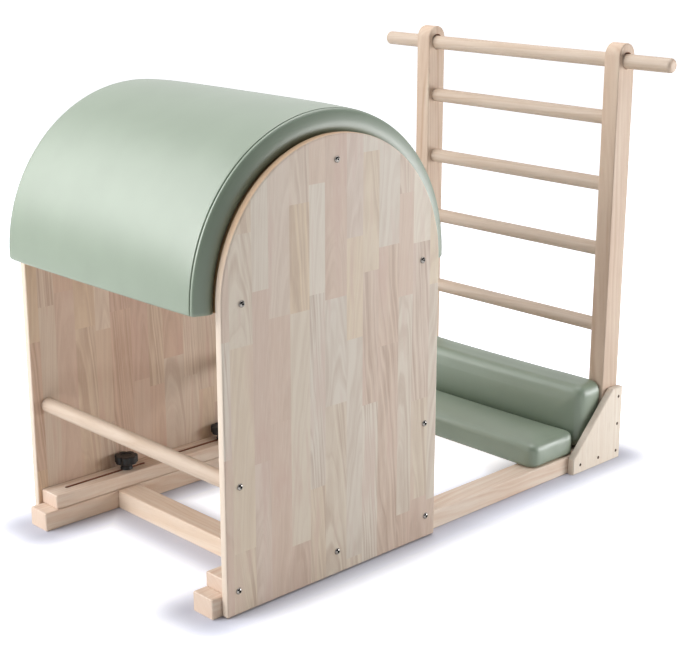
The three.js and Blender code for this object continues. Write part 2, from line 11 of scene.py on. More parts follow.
import bpy
import numpy as np
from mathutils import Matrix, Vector

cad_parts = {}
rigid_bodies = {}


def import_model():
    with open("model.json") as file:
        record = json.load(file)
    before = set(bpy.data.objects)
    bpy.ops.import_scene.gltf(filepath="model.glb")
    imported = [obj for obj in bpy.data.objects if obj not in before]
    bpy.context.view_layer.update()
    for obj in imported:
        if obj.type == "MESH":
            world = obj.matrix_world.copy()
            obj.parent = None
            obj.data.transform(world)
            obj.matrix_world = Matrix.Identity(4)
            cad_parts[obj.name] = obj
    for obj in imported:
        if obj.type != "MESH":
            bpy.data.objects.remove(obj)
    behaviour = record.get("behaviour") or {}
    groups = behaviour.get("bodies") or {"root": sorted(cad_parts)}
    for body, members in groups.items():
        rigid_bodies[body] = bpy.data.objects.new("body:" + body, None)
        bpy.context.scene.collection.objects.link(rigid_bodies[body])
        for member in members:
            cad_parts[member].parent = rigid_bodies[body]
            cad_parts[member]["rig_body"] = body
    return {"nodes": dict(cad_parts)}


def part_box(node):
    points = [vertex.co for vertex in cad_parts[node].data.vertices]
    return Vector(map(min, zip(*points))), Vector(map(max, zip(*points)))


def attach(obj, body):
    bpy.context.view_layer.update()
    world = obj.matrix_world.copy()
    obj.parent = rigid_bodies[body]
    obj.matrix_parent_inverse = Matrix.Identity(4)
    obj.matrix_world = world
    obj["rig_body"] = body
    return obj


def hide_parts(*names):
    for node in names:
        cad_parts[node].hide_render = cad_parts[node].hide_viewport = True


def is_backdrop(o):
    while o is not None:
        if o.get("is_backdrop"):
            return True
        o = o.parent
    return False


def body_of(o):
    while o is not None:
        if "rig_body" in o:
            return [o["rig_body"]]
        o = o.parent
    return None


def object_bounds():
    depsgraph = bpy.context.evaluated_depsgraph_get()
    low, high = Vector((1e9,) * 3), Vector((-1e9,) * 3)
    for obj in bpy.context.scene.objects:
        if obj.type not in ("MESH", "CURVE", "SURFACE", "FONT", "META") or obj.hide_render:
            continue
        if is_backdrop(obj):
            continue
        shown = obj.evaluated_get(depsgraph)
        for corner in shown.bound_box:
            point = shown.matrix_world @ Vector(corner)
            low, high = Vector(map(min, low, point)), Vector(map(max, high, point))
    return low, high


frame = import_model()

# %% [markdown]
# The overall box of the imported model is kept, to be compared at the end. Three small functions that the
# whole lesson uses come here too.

mm = 0.001
cad_box = [list(corner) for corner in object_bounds()]
print("overall box in metres:", cad_box)


def middle_of(low, high):
    """The middle of a box, as a list x, y, z."""
    return [(a + b) / 2 for a, b in zip(low, high)]


def new_object(name, data):
    """An object in the scene that shows a mesh, a lamp or a camera."""
    made = bpy.data.objects.new(name, data)
    bpy.context.collection.objects.link(made)
    return made


def new_mesh(name, vertices, faces):
    """A mesh of vertices, as an array (vertex, xyz), and faces, as lists of vertex numbers."""
    mesh = bpy.data.meshes.new(name)
    mesh.from_pydata(np.asarray(vertices).tolist(), [], faces)
    return mesh


# %% [markdown]
# ## Colours
# Colours are written the way a paint chart gives them, as sRGB hex. Light is added up in linear
# values, so one function converts each colour once, where it is used.

# %% Hex to linear
def linear(code):
    """Red, green, blue and alpha of a hex code. A channel c becomes c / 12.92 in the darks and
    ((c + 0.055) / 1.055) ** 2.4 above them."""
    value = np.array([int(code[i:i + 2], 16) for i in (1, 3, 5)]) / 255
    light = np.where(value <= 0.04045, value / 12.92, ((value + 0.055) / 1.055) ** 2.4)
    return (*light.tolist(), 1.0)


print("middle grey in linear light:", linear("#808080")[:3])

# %% [markdown]
# ## The camera
# The picture is taken from above eye level of someone seated, at the front right corner of the barrel,
# with a long lens that keeps the rails nearly parallel. The camera's place and turn are set from real
# sizes and angles, and its frame isn't shifted.

# %% Set the camera
camera_place = Vector((-2.294, -2.417, 1.381))
camera_turn = math.radians(43.7)  # from looking along +Y, towards +X
camera_dip = math.radians(16.7)  # below the horizon
lens = bpy.data.cameras.new("camera")
lens.lens = 80.2
camera = new_object("camera", lens)
camera.location = camera_place
camera.rotation_euler = (math.pi / 2 - camera_dip, 0, -camera_turn)
bpy.context.scene.camera = camera
bpy.context.scene.view_settings.view_transform = "Standard"
print("camera stands", round(camera_place.length, 2), "m from the middle of the floor")

# %% [markdown]
# ## Adding nodes
# Every material below is a small network. One function adds a node, sets its properties, and fills its
# inputs with plain values or with links. Another lays one colour over another where some value passes a
# range, because most finishes are a stack of such layers.

# %% One function for every node
MIX_FACTOR, MIX_A, MIX_B, MIX_RESULT = 0, 6, 7, 2  # sockets of a Mix node that blends colours


def add(tree, kind, inputs=(), stops=(), **settings):
    """Adds a shader node of a kind, which may be followed by the operation that it does.

    `inputs` lists what its sockets get, or maps sockets to it: a value, an output, or a node, which
    stands for its first output or for a Mix node's colour. `stops` are a ramp's (place, hex code) pairs."""
    kind, *operation = kind.split()
    made = tree.nodes.new("ShaderNode" + kind)
    if operation:
        made.operation = operation[0]
    for name, value in settings.items():
        setattr(made, name, value)
    for key, value in inputs.items() if isinstance(inputs, dict) else enumerate(inputs):
        if isinstance(value, bpy.types.Node):
            value = value.outputs[MIX_RESULT if value.bl_idname == "ShaderNodeMix" else 0]
        if isinstance(value, bpy.types.NodeSocket):
            tree.links.new(value, made.inputs[key])
        else:
            made.inputs[key].default_value = value
    if stops:
        elements = made.color_ramp.elements
        for place, _ in stops[1:-1]:
            elements.new(place)
        elements[0].position = stops[0][0]
        elements[-1].position = stops[-1][0]
        for element, (_, code) in zip(elements, stops):
            element.color = linear(code)
    return made


def tinted(tree, under, over, value, ends=(0.0, 1.0), shares=(0.0, 1.0), blend_type="MIX"):
    """The colour `under`, with `over` laid on it in a share that goes from shares[0] where `value` is
    ends[0] to shares[1] where it is ends[1]. A colour is a hex code or a node."""
    share = add(tree, "MapRange", [value, *ends, *shares])
    under, over = (linear(colour) if isinstance(colour, str) else colour for colour in (under, over))
    return add(tree, "Mix", {MIX_FACTOR: share, MIX_A: under, MIX_B: over},
               data_type="RGBA", blend_type=blend_type)


def new_tree(name):
    """An empty material and its node tree."""
    material = bpy.data.materials.new(name)
    material.use_nodes = True
    material.node_tree.nodes.clear()
    return material, material.node_tree


def close(material, colour, roughness, height=None, strength=0.35, depth=0.2 * mm, more=()):
    """Ends a material's tree in a surface of that colour. `height`, where given, dents it by up to
    `depth`, and `more` maps further sockets of the surface to their values."""
    tree = material.node_tree
    inputs = {"Base Color": colour, "Roughness": roughness, **dict(more)}
    if height:
        inputs["Normal"] = add(tree, "Bump", {"Height": height, "Strength": strength, "Distance": depth})
    add(tree, "OutputMaterial", [add(tree, "BsdfPrincipled", inputs)])
    return material


# %% [markdown]
# ## The floor and the light
# A product like this is photographed on white paper under large soft boxes: one overhead, the largest
# high in front on the left, a low one beside the ladder on the right, and a small one in front. The floor
# is white paper, which lights the object from below. Where the camera looks at it, the paper is a darker
# bluish grey than the paper that lights, with pure white added, more with the distance from the nearest
# timber: a band of painted shade lies round the timber, over the real soft shadows there, and further
# out the paper goes white. The room is white too, but for one dark side, which metal and glossy vinyl
# mirror.

# %% Lay the floor
floor_half = 30.0
shadow_reach = 150 * mm  # from the timber, over which the added white rises from 0 to 1, pure white: the width of the painted shade
mirrored_share = 0.3  # of the added white in a reflection, which the lit paper fills by itself
corners = [(-floor_half, -floor_half, 0), (floor_half, -floor_half, 0),
           (floor_half, floor_half, 0), (-floor_half, floor_half, 0)]
floor = new_object("floor", new_mesh("floor", corners, [(0, 1, 2, 3)]))
floor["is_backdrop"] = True

paper, tree = new_tree("white_paper")
position = add(tree, "TexCoord").outputs["Object"]
nearest = floor_half
for name in ("base_rail_right", "base_rail_left", "front_cross_beam", "rear_cross_beam"):
    low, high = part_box(name)
    offset = add(tree, "VectorMath SUBTRACT", [position, (low + high) / 2])
    folded = add(tree, "VectorMath ABSOLUTE", [offset])
    beyond = add(tree, "VectorMath SUBTRACT", [folded, (high - low) / 2])
    beside = add(tree, "VectorMath MAXIMUM", [beyond, (0, 0, 0)])
    distance = add(tree, "VectorMath LENGTH", [beside]).outputs["Value"]
    nearest = add(tree, "Math MINIMUM", [distance, nearest])
share = add(tree, "MapRange", [nearest, 0.0, shadow_reach], interpolation_type="SMOOTHSTEP")
path = add(tree, "LightPath").outputs
seen = add(tree, "Math MAXIMUM", [path["Is Camera Ray"], path["Is Transmission Ray"]])
seen = add(tree, "Math MULTIPLY_ADD", [path["Is Glossy Ray"], mirrored_share, seen])
share = add(tree, "Math MULTIPLY", [share, seen])
# Painted shade: the camera sees a darker bluish grey than the paper that lights the object.
matt = add(tree, "BsdfDiffuse", [tinted(tree, "#eceded", "#cbcdda", path["Is Camera Ray"])])
white = add(tree, "Emission", [linear("#ffffff"), share])
surface = add(tree, "AddShader", [matt, white])
add(tree, "OutputMaterial", [surface])
floor.data.materials.append(paper)
print("floor reaches", floor_half, "m each way")

# %% Light the studio
world = bpy.data.worlds.new("studio")
bpy.context.scene.world = world
world.use_nodes = True
tree = world.node_tree
tree.nodes.clear()
room_light = 0.22  # what the white room gives by itself, where 1 would light everything fully
dark_side = (0.2, -0.98, 0.0)  # the direction of the unlit wall
path = add(tree, "LightPath").outputs
seen = add(tree, "Math MAXIMUM", [path["Is Camera Ray"], path["Is Glossy Ray"]])
seen = add(tree, "Math MAXIMUM", [seen, path["Is Transmission Ray"]])
room = add(tree, "Background", [linear("#f4f7ff"), room_light])
direction = add(tree, "TexCoord").outputs["Generated"]
towards = add(tree, "VectorMath DOT_PRODUCT", [direction, dark_side]).outputs["Value"]
unlit = add(tree, "MapRange", [towards, 0.1, 0.6])
unlit = add(tree, "Math MULTIPLY", [unlit, path["Is Glossy Ray"]])
backdrop = add(tree, "Background", [tinted(tree, "#ffffff", "#2a2a2c", unlit), 1.0])
light = add(tree, "MixShader", [seen, room, backdrop])
add(tree, "OutputWorld", [light])


def soft_box(name, place, aim, width, height, power):
    """A flat lamp at `place` that faces `aim`, in metres and watts."""
    lamp = bpy.data.lights.new(name, "AREA")
    lamp.shape = "RECTANGLE"
    lamp.size, lamp.size_y = width, height
    lamp.energy = power
    holder = new_object(name, lamp)
    holder.location = place
    holder.rotation_euler = (Vector(aim) - Vector(place)).to_track_quat("-Z", "Y").to_euler()


middle = (0, 0, 0.5)
soft_box("overhead_box", (0.7, 0.0, 3.4), middle, 2.8, 2.4, 56)
soft_box("left_box", (-3.0, 2.5, 3.0), middle, 4.4, 3.6, 148)
soft_box("right_box", (2.2, -2.1, 0.45), (0, -0.3, 0.2), 1.6, 1.2, 54)
soft_box("front_box", (-3.0, 0.7, 1.5), (-0.4, 0.1, 0.3), 1.6, 1.2, 40)
print("room light", room_light, "and four soft boxes")

# %% [markdown]
# ## Solid wood
# The frame is rubberwood, a pale plantation hardwood, planed and sealed with a matt clear lacquer.
# Trees grow in rings round a pith, so the grain is worked out as it grew: the distance from a pith line
# gives the rings on every face, arcs on end grain and long flames on flat faces. Vessels are fine
# dashes along the grain. They are drawn about 2 mm wide, coarser than life, so that they show.

# %% Grain of one log
def stretched_noise(tree, place, size, detail):
    """Noise from 0 to 1 whose blobs measure `size` metres along x, y and z."""
    scaled = add(tree, "VectorMath MULTIPLY", [place, [1 / side for side in size]])
    return add(tree, "TexNoise", {"Vector": scaled, "Scale": 1.0, "Detail": detail})


def grain_pattern(tree, grain, ring_width, vessel_width, taper=0.035):
    """Growth rings, clouds and vessels, each from 0 to 1, at a point of `grain` = (along, across, across).

    The rings are noise along one line, read at (distance from the pith + `taper` * the place along the
    trunk + a slow warp) / ring width. Clouds and vessels are noise stretched along the grain."""
    warp_reach = 22 * mm
    warp = stretched_noise(tree, grain, (300 * mm, 60 * mm, 60 * mm), 2.0)
    parts = add(tree, "SeparateXYZ", [grain]).outputs
    across = add(tree, "CombineXYZ", [parts["Y"], parts["Z"]])
    radius = add(tree, "VectorMath LENGTH", [across]).outputs["Value"]
    cone = add(tree, "Math MULTIPLY_ADD", [parts["X"], taper, radius])
    bent = add(tree, "Math MULTIPLY_ADD", [warp, warp_reach, cone])
    place = add(tree, "Math DIVIDE", [bent, ring_width])
    rings = add(tree, "TexNoise", {"W": place, "Scale": 1.0, "Detail": 3.0}, noise_dimensions="1D")
    clouds = stretched_noise(tree, grain, (220 * mm, 28 * mm, 28 * mm), 3.0)
    vessels = stretched_noise(tree, grain, (35 * mm, vessel_width, vessel_width), 2.0)
    return rings, clouds, vessels


# %% Lacquered timber
pith_offset = (0, 170 * mm, 90 * mm)  # puts the pith outside the timber, as in sawn boards
vessel_shade = "#a98a72"
# painted shade for the walls of the deep routed slot in the runners
painted_slot_shade = "#a0664c"


def lacquered_wood(name, along, shades, end_shade, roughness=0.58, ring_width=7 * mm, slot_shade_space=None, bore=None):
    """Solid timber with its grain along axis x, y or z. `shades` run from the dark rings to the pale ones.

    A face whose normal points along the grain is end grain, and takes `end_shade`. The slot argument is the
    middle and half the size of the space, mirrored in Y, inside the routed slot, where painted shade darkens
    the wood. The bore argument is painted shade: the colour of the wood inside a drilled hole, where the
    attribute "recess" is 1."""
    material, tree = new_tree(name)
    coordinates = add(tree, "TexCoord").outputs
    place = add(tree, "SeparateXYZ", [coordinates["Object"]]).outputs
    facing = add(tree, "SeparateXYZ", [coordinates["Normal"]]).outputs
    order = {"x": "XYZ", "y": "YXZ", "z": "ZXY"}[along]
    grain = add(tree, "CombineXYZ", [place[axis] for axis in order])
    from_pith = add(tree, "VectorMath ADD", [grain, pith_offset])
    rings, clouds, vessels = grain_pattern(tree, from_pith, ring_width, 2 * mm)
    both = add(tree, "Math ADD", [rings, clouds])
    half = add(tree, "Math MULTIPLY", [both, 0.5])
    spread = [(0.28 + 0.44 * i / (len(shades) - 1), shade) for i, shade in enumerate(shades)]
    colour = add(tree, "ValToRGB", [half], spread)
    colour = tinted(tree, colour, vessel_shade, vessels, (0.56, 0.72), (0.0, 0.16))
    across = add(tree, "Math ABSOLUTE", [facing[along.upper()]])
    colour = tinted(tree, colour, end_shade, across, (0.6, 0.95), (0.0, 0.75))
    if slot_shade_space:
        folded = add(tree, "Math ABSOLUTE", [place["Y"]])
        inside = 1.0
        for value, centre, reach in zip((place["X"], folded, place["Z"]), *slot_shade_space):
            within = add(tree, "Math COMPARE", [value, centre, reach])
            inside = add(tree, "Math MULTIPLY", [within, inside])
        # Painted shade: the walls of the routed slot are darkened, where the slot is deep.
        colour = tinted(tree, colour, painted_slot_shade, inside)
    # Painted shade: inside a drilled hole, where "recess" is 1, the wood takes the darker bore colour.
    if bore:
        recess = add(tree, "Attribute", attribute_name="recess").outputs["Fac"]
        colour = tinted(tree, colour, bore, recess)
    return close(material, colour, roughness, vessels, 0.15)


rail_shades = ["#d2b39b", "#dec6b2", "#e6d4c3", "#ecdccd"]
beam_shades = ["#d8bca2", "#e5ceb8", "#ebd7c4", "#efdfce"]
post_shades = ["#bd9f87", "#cab09a", "#d1baa5", "#d6c3ae"]
gusset_shades = ["#dcc9b5", "#e4d5c4", "#e9dccc", "#ece1d3"]
dowel_shades = ["#bba28b", "#c5b09c", "#ccb9a7", "#d2c0af"]
rail_wood = lacquered_wood("lacquered_rubberwood_rails", "x", rail_shades, "#dcc3b0")
beam_wood = lacquered_wood("lacquered_rubberwood_beams", "y", beam_shades, "#dcc3b0")
# The posts' bore colour is painted shade inside the hole for the top bar.
post_wood = lacquered_wood("lacquered_rubberwood_posts", "z", post_shades, "#d8bda6", bore="#8f5f48")
gusset_wood = lacquered_wood("lacquered_rubberwood_gussets", "z", gusset_shades, "#e6d8c9")
dowel_wood = lacquered_wood("turned_rubberwood_dowels", "y", dowel_shades, "#d8bda6", 0.5, 5 * mm)
runner_low, runner_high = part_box("slotted_runner_left")
slot_half = (runner_high - runner_low) / 2
slot_half.x -= 20 * mm  # of solid wood past each end of the slot
slot_half.y = 4.8 * mm
slot_middle = (runner_low + runner_high) / 2
slot_middle.z -= 0.4 * mm  # of wood left without painted shade at the top of the slot's walls
# The runners' slot walls take painted shade.
runner_wood = lacquered_wood("routed_rubberwood_runners", "x", rail_shades, "#dcc3b0",
                             slot_shade_space=(slot_middle, slot_half))
print("wood finishes:", [m.name for m in bpy.data.materials])

# %% [markdown]
# ## Glued staves
# The two side panels are edge-glued board: staves about 50 mm wide, each made of short lengths joined
# end to end, then washed with white lime and lacquered. Each length came from another board, so it has
# its own shade and its own pith. The stave's number and the length's number seed both.

# %% Staves of the side panels
stave_width = 49 * mm  # on average
uneven_by, uneven_over = 5 * mm, 133 * mm  # how far joints stray from even widths, and over what width
stave_length = 330 * mm  # on average, from joint to joint
stagger = 9.0  # lengths, the most that a stave's first joint is drawn away from the floor
length_swing, swing_rate = 0.25, 8.0  # how far lengths differ, as a share, and the swing's radians per metre
pith_shift = (0, -80 * mm, -310 * mm)  # puts the pith lines about a stave's width off each stave
log_spread = (3.0, 110 * mm, 50 * mm)  # metres between one length's place in its log and another's


def limed_staves(name):
    """Edge-glued board with upright staves.

    Stave number = floor((x + a slow sine of x) / width). A length's number = floor(z / length + a start
    of its own + a slow sine), which keeps the joints staggered and uneven."""
    material, tree = new_tree(name)
    coordinates = add(tree, "TexCoord").outputs
    place = add(tree, "SeparateXYZ", [coordinates["Object"]]).outputs
    facing = add(tree, "SeparateXYZ", [coordinates["Normal"]]).outputs
    side = add(tree, "Math SIGN", [place["Y"]])
    turn = add(tree, "Math MULTIPLY_ADD", [place["X"], math.tau / uneven_over, side])
    uneven = add(tree, "Math SINE", [turn])
    lateral = add(tree, "Math MULTIPLY_ADD", [uneven, uneven_by, place["X"]])
    column = add(tree, "Math DIVIDE", [lateral, stave_width])
    stave = add(tree, "Math FLOOR", [column])
    draw = add(tree, "TexWhiteNoise", [add(tree, "CombineXYZ", [stave, side])])
    start = add(tree, "Math MULTIPLY", [draw, stagger])
    swing = add(tree, "Math MULTIPLY_ADD", [place["Z"], swing_rate, start])
    wave = add(tree, "Math SINE", [swing])
    climb = add(tree, "Math MULTIPLY_ADD", [place["Z"], 1 / stave_length, start])
    row = add(tree, "Math MULTIPLY_ADD", [wave, length_swing, climb])
    length = add(tree, "Math FLOOR", [row])
    draw = add(tree, "TexWhiteNoise", [add(tree, "CombineXYZ", [stave, side, length])])
    log = add(tree, "VectorMath MULTIPLY", [draw.outputs["Color"], log_spread])
    within = add(tree, "Math FLOORED_MODULO", [lateral, stave_width])
    depth = add(tree, "Math ABSOLUTE", [place["Y"]])
    upright = add(tree, "CombineXYZ", [place["Z"], within, depth])
    shifted = add(tree, "VectorMath ADD", [upright, log])
    centred = add(tree, "VectorMath ADD", [shifted, pith_shift])
    rings, clouds, vessels = grain_pattern(tree, centred, 5 * mm, 2.2 * mm, 0.05)

    colour = add(tree, "ValToRGB", [draw], [
        (0.0, "#d5beae"), (0.12, "#dac4b1"), (0.3, "#dac9bb"), (0.5, "#decdb5"), (0.7, "#dcd1c3"),
        (0.9, "#e5daca"), (1.0, "#dcc6aa"),
    ])
    figure = add(tree, "Math ADD", [rings, clouds])
    marks = add(tree, "SeparateXYZ", [draw.outputs["Color"]]).outputs
    bold = add(tree, "MapRange", [marks["Y"], 0.2, 1.0, 0.2, 0.66])
    colour = tinted(tree, colour, "#b3947f", figure, (0.74, 1.12), (bold, 0.0))
    colour = tinted(tree, colour, "#cbaa9c", clouds, (0.54, 0.68), (0.0, 0.42))
    colour = tinted(tree, colour, "#e6dccf", vessels, (0.50, 0.75), (0.0, 0.22))
    # Painted shade: faces that look inward, at the other panel, are multiplied by a warm tint for the shade
    # and the warm light from the wood inside the barrel.
    outward = add(tree, "Math MULTIPLY", [facing["Y"], side])
    colour = tinted(tree, colour, "#f7e4d6", outward, (-0.5, -0.9), (0.0, 0.5), "MULTIPLY")
    flat = add(tree, "Math ABSOLUTE", [facing["Y"]])
    steep = add(tree, "Math ABSOLUTE", [facing["Z"]])
    edge_shade = add(tree, "ValToRGB", [steep], [(0.0, "#e3d3c2"), (0.5, "#dab895"), (1.0, "#d5b08c")])
    colour = tinted(tree, colour, edge_shade, flat, (0.75, 0.4), (0.0, 0.85))
    return close(material, colour, 0.52, vessels, 0.2)


stave_board = limed_staves("limed_rubberwood_staves")
print("staves about", round(stave_width / mm), "mm wide and", round(stave_length / mm), "mm long")

# %% [markdown]
# ## Plywood, vinyl, nylon and steel
# The shell and the boards inside the pads are birch plywood. The upholstery is vinyl, a knitted cloth
# coated with PVC and embossed with a leather grain: about 1 mm from cell to cell, which only roughens
# the highlight from here. Knobs are moulded black nylon, bolts are bright zinc plate, and the gusset
# screws are browned steel.

# %% Birch plywood
leg_length = 12 * mm  # of the bent shell below the start of its half circle
ply_thickness = 1.5 * mm
fleck_size = (1 / 60, 1 / 6, 1 / 60)  # long along Y


def birch_plywood(name, ply_axis):
    """Rotary-cut birch. Its plies alternate along x or z, or outward from the barrel's axis for "r"."""
    material, tree = new_tree(name)
    coordinates = add(tree, "TexCoord").outputs["Object"]
    if ply_axis == "r":
        low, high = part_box("barrel_shell")
        centre = (middle_of(low, high)[0], 0, low.z + leg_length)
        offset = add(tree, "VectorMath SUBTRACT", [coordinates, centre])
        flat = add(tree, "VectorMath MULTIPLY", [offset, (1, 0, 1)])
        depth = add(tree, "VectorMath LENGTH", [flat]).outputs["Value"]
    else:
        depth = add(tree, "SeparateXYZ", [coordinates]).outputs[ply_axis.upper()]
    pair = add(tree, "Math FLOORED_MODULO", [depth, 2 * ply_thickness])
    odd = add(tree, "Math GREATER_THAN", [pair, ply_thickness])
    plies = add(tree, "ValToRGB", [odd], [(0.0, "#d9c09a"), (1.0, "#b89468")])
    fleck = stretched_noise(tree, coordinates, fleck_size, 4.0)
    return close(material, tinted(tree, plies, "#a9865e", fleck, (0.4, 0.7), (0.0, 0.3)), 0.65)


shell_ply = birch_plywood("birch_plywood_shell", "r")
seat_ply = birch_plywood("birch_plywood_seat", "z")
back_ply = birch_plywood("birch_plywood_back", "x")
print("plies", round(ply_thickness / mm, 1), "mm thick")

# %% Vinyl, nylon and metals
def grained(name, pale, deep, patch, cell, depth, roughness, metallic=0.0, coat=0.0, soot_and_shade=None):
    """A moulded, embossed or plated finish: two close shades in patches of `patch` metres, and rounded
    cells `cell` metres apart and `depth` metres deep. `coat` is the weight of a clear lacquer over it,
    and the soot argument is the colour where the attribute "recess" is 1: dirt and painted shade in a
    socket."""
    material, tree = new_tree(name)
    coordinates = add(tree, "TexCoord").outputs["Object"]
    drift = add(tree, "TexNoise", {"Vector": coordinates, "Scale": 1 / patch, "Detail": 2.0})
    colour = add(tree, "ValToRGB", [drift], [(0.35, deep), (0.65, pale)])
    # Dirt and painted shade: where "recess" is 1, in a socket, the colour goes dark.
    if soot_and_shade:
        recess = add(tree, "Attribute", attribute_name="recess").outputs["Fac"]
        colour = tinted(tree, colour, soot_and_shade, recess)
    cells = add(tree, "TexVoronoi", {"Vector": coordinates, "Scale": 1 / cell}, feature="SMOOTH_F1")
    lacquer = {"Coat Weight": coat, "Coat Roughness": 0.42, "Coat IOR": 1.65, "Metallic": metallic}
    return close(material, colour, roughness, cells, depth=depth, more=lacquer)


sage_vinyl = grained("embossed_sage_vinyl", "#7d8c78", "#798874", 90 * mm, 1.3 * mm, 0.1 * mm, 0.52,
                     coat=1.0)
black_nylon = grained("moulded_black_nylon", "#121213", "#0d0d0e", 20 * mm, 0.8 * mm, 0.1 * mm, 0.46)
# The bolts' sockets take a dark colour for oil dirt and painted shade.
zinc_plate = grained("bright_zinc_plate", "#a6a29e", "#94908c", 6 * mm, 1.5 * mm, 0.01 * mm, 0.15, 1.0,
                     soot_and_shade="#1d1b1a")
brown_steel = grained("browned_steel", "#6a5648", "#534339", 4 * mm, 1.0 * mm, 0.02 * mm, 0.4, 1.0)
print(len(bpy.data.materials), "finishes in all")

# %% [markdown]
# ## Dress the parts whose shape is already right
# The square timbers, the gussets and the boards come from the frame as they are, and only need a finish.

# %% Give the square timber its finish
finishes = {
    "base_rail": rail_wood, "slotted_runner": runner_wood, "front_cross_beam": beam_wood,
    "rear_cross_beam": beam_wood, "spreader": beam_wood, "gusset_plate": gusset_wood,
    "seat_board": seat_ply, "back_board": back_ply, "clamp_stud": zinc_plate,
}
for name, node in frame["nodes"].items():
    for start, material in finishes.items():
        if name.startswith(start):
            node.data.materials.clear()
            node.data.materials.append(material)
            print(name, "gets", material.name)

# %% [markdown]
# ## Surfaces on a grid
# Most new pieces are closed skins: rings of points joined by quads. Two helpers turn such a grid into an
# object. The skin is turned inside out if the volume that it encloses comes out negative, so its faces
# always point outwards.

# %% From a grid to an object
def skin(rings, loop=False):
    """Vertices and faces of a closed skin over rings of points, as an array (ring, point, xyz).

    Point j of ring i is joined to its neighbours j + 1 and i + 1. The first and last rings are closed by
    fans on their middles, or joined to each other when `loop` is true."""
    count, around = rings.shape[:2]
    vertices = rings.reshape(-1, 3)
    corner = np.arange(count * around).reshape(count, around)
    fans = np.zeros((0, 3), dtype=int)
    if loop:
        corner = np.vstack([corner, corner[:1]])
    beside = np.roll(corner, -1, axis=1)
    quads = np.stack([corner[:-1], beside[:-1], beside[1:], corner[1:]], axis=-1).reshape(-1, 4)
    if not loop:
        vertices = np.vstack([vertices, rings[0].mean(axis=0), rings[-1].mean(axis=0)])
        middle = np.full(around, count * around)
        fans = np.vstack([np.stack([middle, beside[0], corner[0]], axis=-1),
                          np.stack([middle + 1, corner[-1], beside[-1]], axis=-1)])
    triangles = np.vstack([quads[:, :3], quads[:, [0, 2, 3]], fans])
    a, b, c = (vertices[triangles[:, i]] for i in range(3))
    if np.einsum("ij,ij->", a, np.cross(b, c)) < 0:
        quads, fans = quads[:, ::-1], fans[:, ::-1]
    return vertices, quads.tolist() + fans.tolist()


def make_piece(name, vertices, faces, material, slot, nodes, body=None, crease=35):
    """An object at the origin, smooth but for edges sharper than `crease` degrees. It rides with the
    first node that it stands for, or with `body` when it stands for none."""
    mesh = new_mesh(name, vertices, faces)
    mesh.shade_smooth()
    mesh.set_sharp_from_angle(angle=math.radians(crease))
    mesh.materials.append(material)
    piece = new_object(name, mesh)
    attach(piece, body or body_of(frame["nodes"][nodes[0]])[0])
    if nodes:
        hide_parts(*nodes)
    return piece


def mark_recess(piece, inside):
    """Sets the point attribute "recess", which a finish reads, to 1 where `inside` is true."""
    recess = piece.data.attributes.new("recess", "FLOAT", "POINT")
    recess.data.foreach_set("value", np.asarray(inside).astype(float))


def joined(skins):
    """Several skins as one list of vertices and one list of faces."""
    vertices = np.vstack([part[0] for part in skins])
    starts = np.cumsum([0] + [len(part[0]) for part in skins])
    faces = [[corner + start for corner in face] for (_, part), start in zip(skins, starts) for face in part]
    return vertices, faces


def quarter(radius, steps=4):
    """Inset and rise of a quarter-round edge: radius * (1 - sin a) and radius * (1 - cos a), with a from
    90 degrees to 0."""
    angle = np.linspace(np.pi / 2, 0, steps + 1)
    return radius * (1 - np.sin(angle)), radius * (1 - np.cos(angle))


def rounded_ends(length, edge, margin, steps=4):
    """Inset and place along a length, from one end face over its rounded edge to the other end face.
    Each face starts `margin` times the edge's radius inside the outline."""
    inset, back = quarter(edge, steps)
    inset = np.r_[edge * margin, inset[::-1]]
    along = np.r_[0, back[::-1]]
    return np.r_[inset, inset[::-1]], np.r_[along, length - along[::-1]]


# %% [markdown]
# ## Arched boards
# The side panels and the ladder's uprights have the same outline at different sizes: two straight sides
# and a half circle on top. A plate is that outline, drawn smaller where its edges round over.

# %% Arched plates
panel_edge, upright_edge = 3.2 * mm, 3 * mm  # radius of the rounded-over edges


def arch_path(radius, spring, leg, arc_steps, leg_steps):
    """Places along an arch, as an array (stop, x and z), and each stop's outward direction.

    Up one leg, round the top by (radius * cos a, spring + radius * sin a), and down the other leg."""
    angle = np.r_[np.zeros(leg_steps), np.linspace(0, np.pi, arc_steps + 1), np.full(leg_steps, np.pi)]
    down = np.linspace(leg, leg / leg_steps, leg_steps)
    drop = np.r_[down, np.zeros(arc_steps + 1), down[::-1]]
    outward = np.stack([np.cos(angle), np.sin(angle)], axis=-1)
    return radius * outward + np.stack([0 * drop, spring - drop], axis=-1), outward


def arched_plate(low, high, edge, corner=1.5 * mm, arc_steps=96, side_steps=12):
    """Rings of an arched board that fills the box from `low` to `high`, with its foot closed by a row of
    points that stops short of the corners by `corner`."""
    spring = high.z - (high.x - low.x) / 2
    rings = []
    for inset, across in zip(*rounded_ends(high.y - low.y, edge, 1.6)):
        half_width, foot = (high.x - low.x) / 2 - inset, low.z + inset
        path, _ = arch_path(half_width, spring, spring - foot - corner, arc_steps, side_steps)
        along = np.linspace(-half_width + corner, half_width - corner, side_steps)
        x, z = np.vstack([path, np.stack([along, np.full(side_steps, foot)], axis=-1)]).T
        rings.append(np.stack([x + (low.x + high.x) / 2, np.full(len(x), low.y + across), z], axis=-1))
    return np.array(rings)


for side in ("right", "left"):
    node = f"side_panel_{side}"
    vertices, faces = skin(arched_plate(*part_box(node), panel_edge))
    make_piece(f"staved_panel_{side}", vertices, faces, stave_board, "panel_wood", [node])
    print(node, "has", len(faces), "faces")

# %% [markdown]
# An upright has one hole near its top, where the top bar passes through. The hole is 3.2 mm wider than
# the bar, which rests close to its bottom. The skin runs from the hole over the face, round the edge and
# back through the hole, so it closes on itself like a ring doughnut.

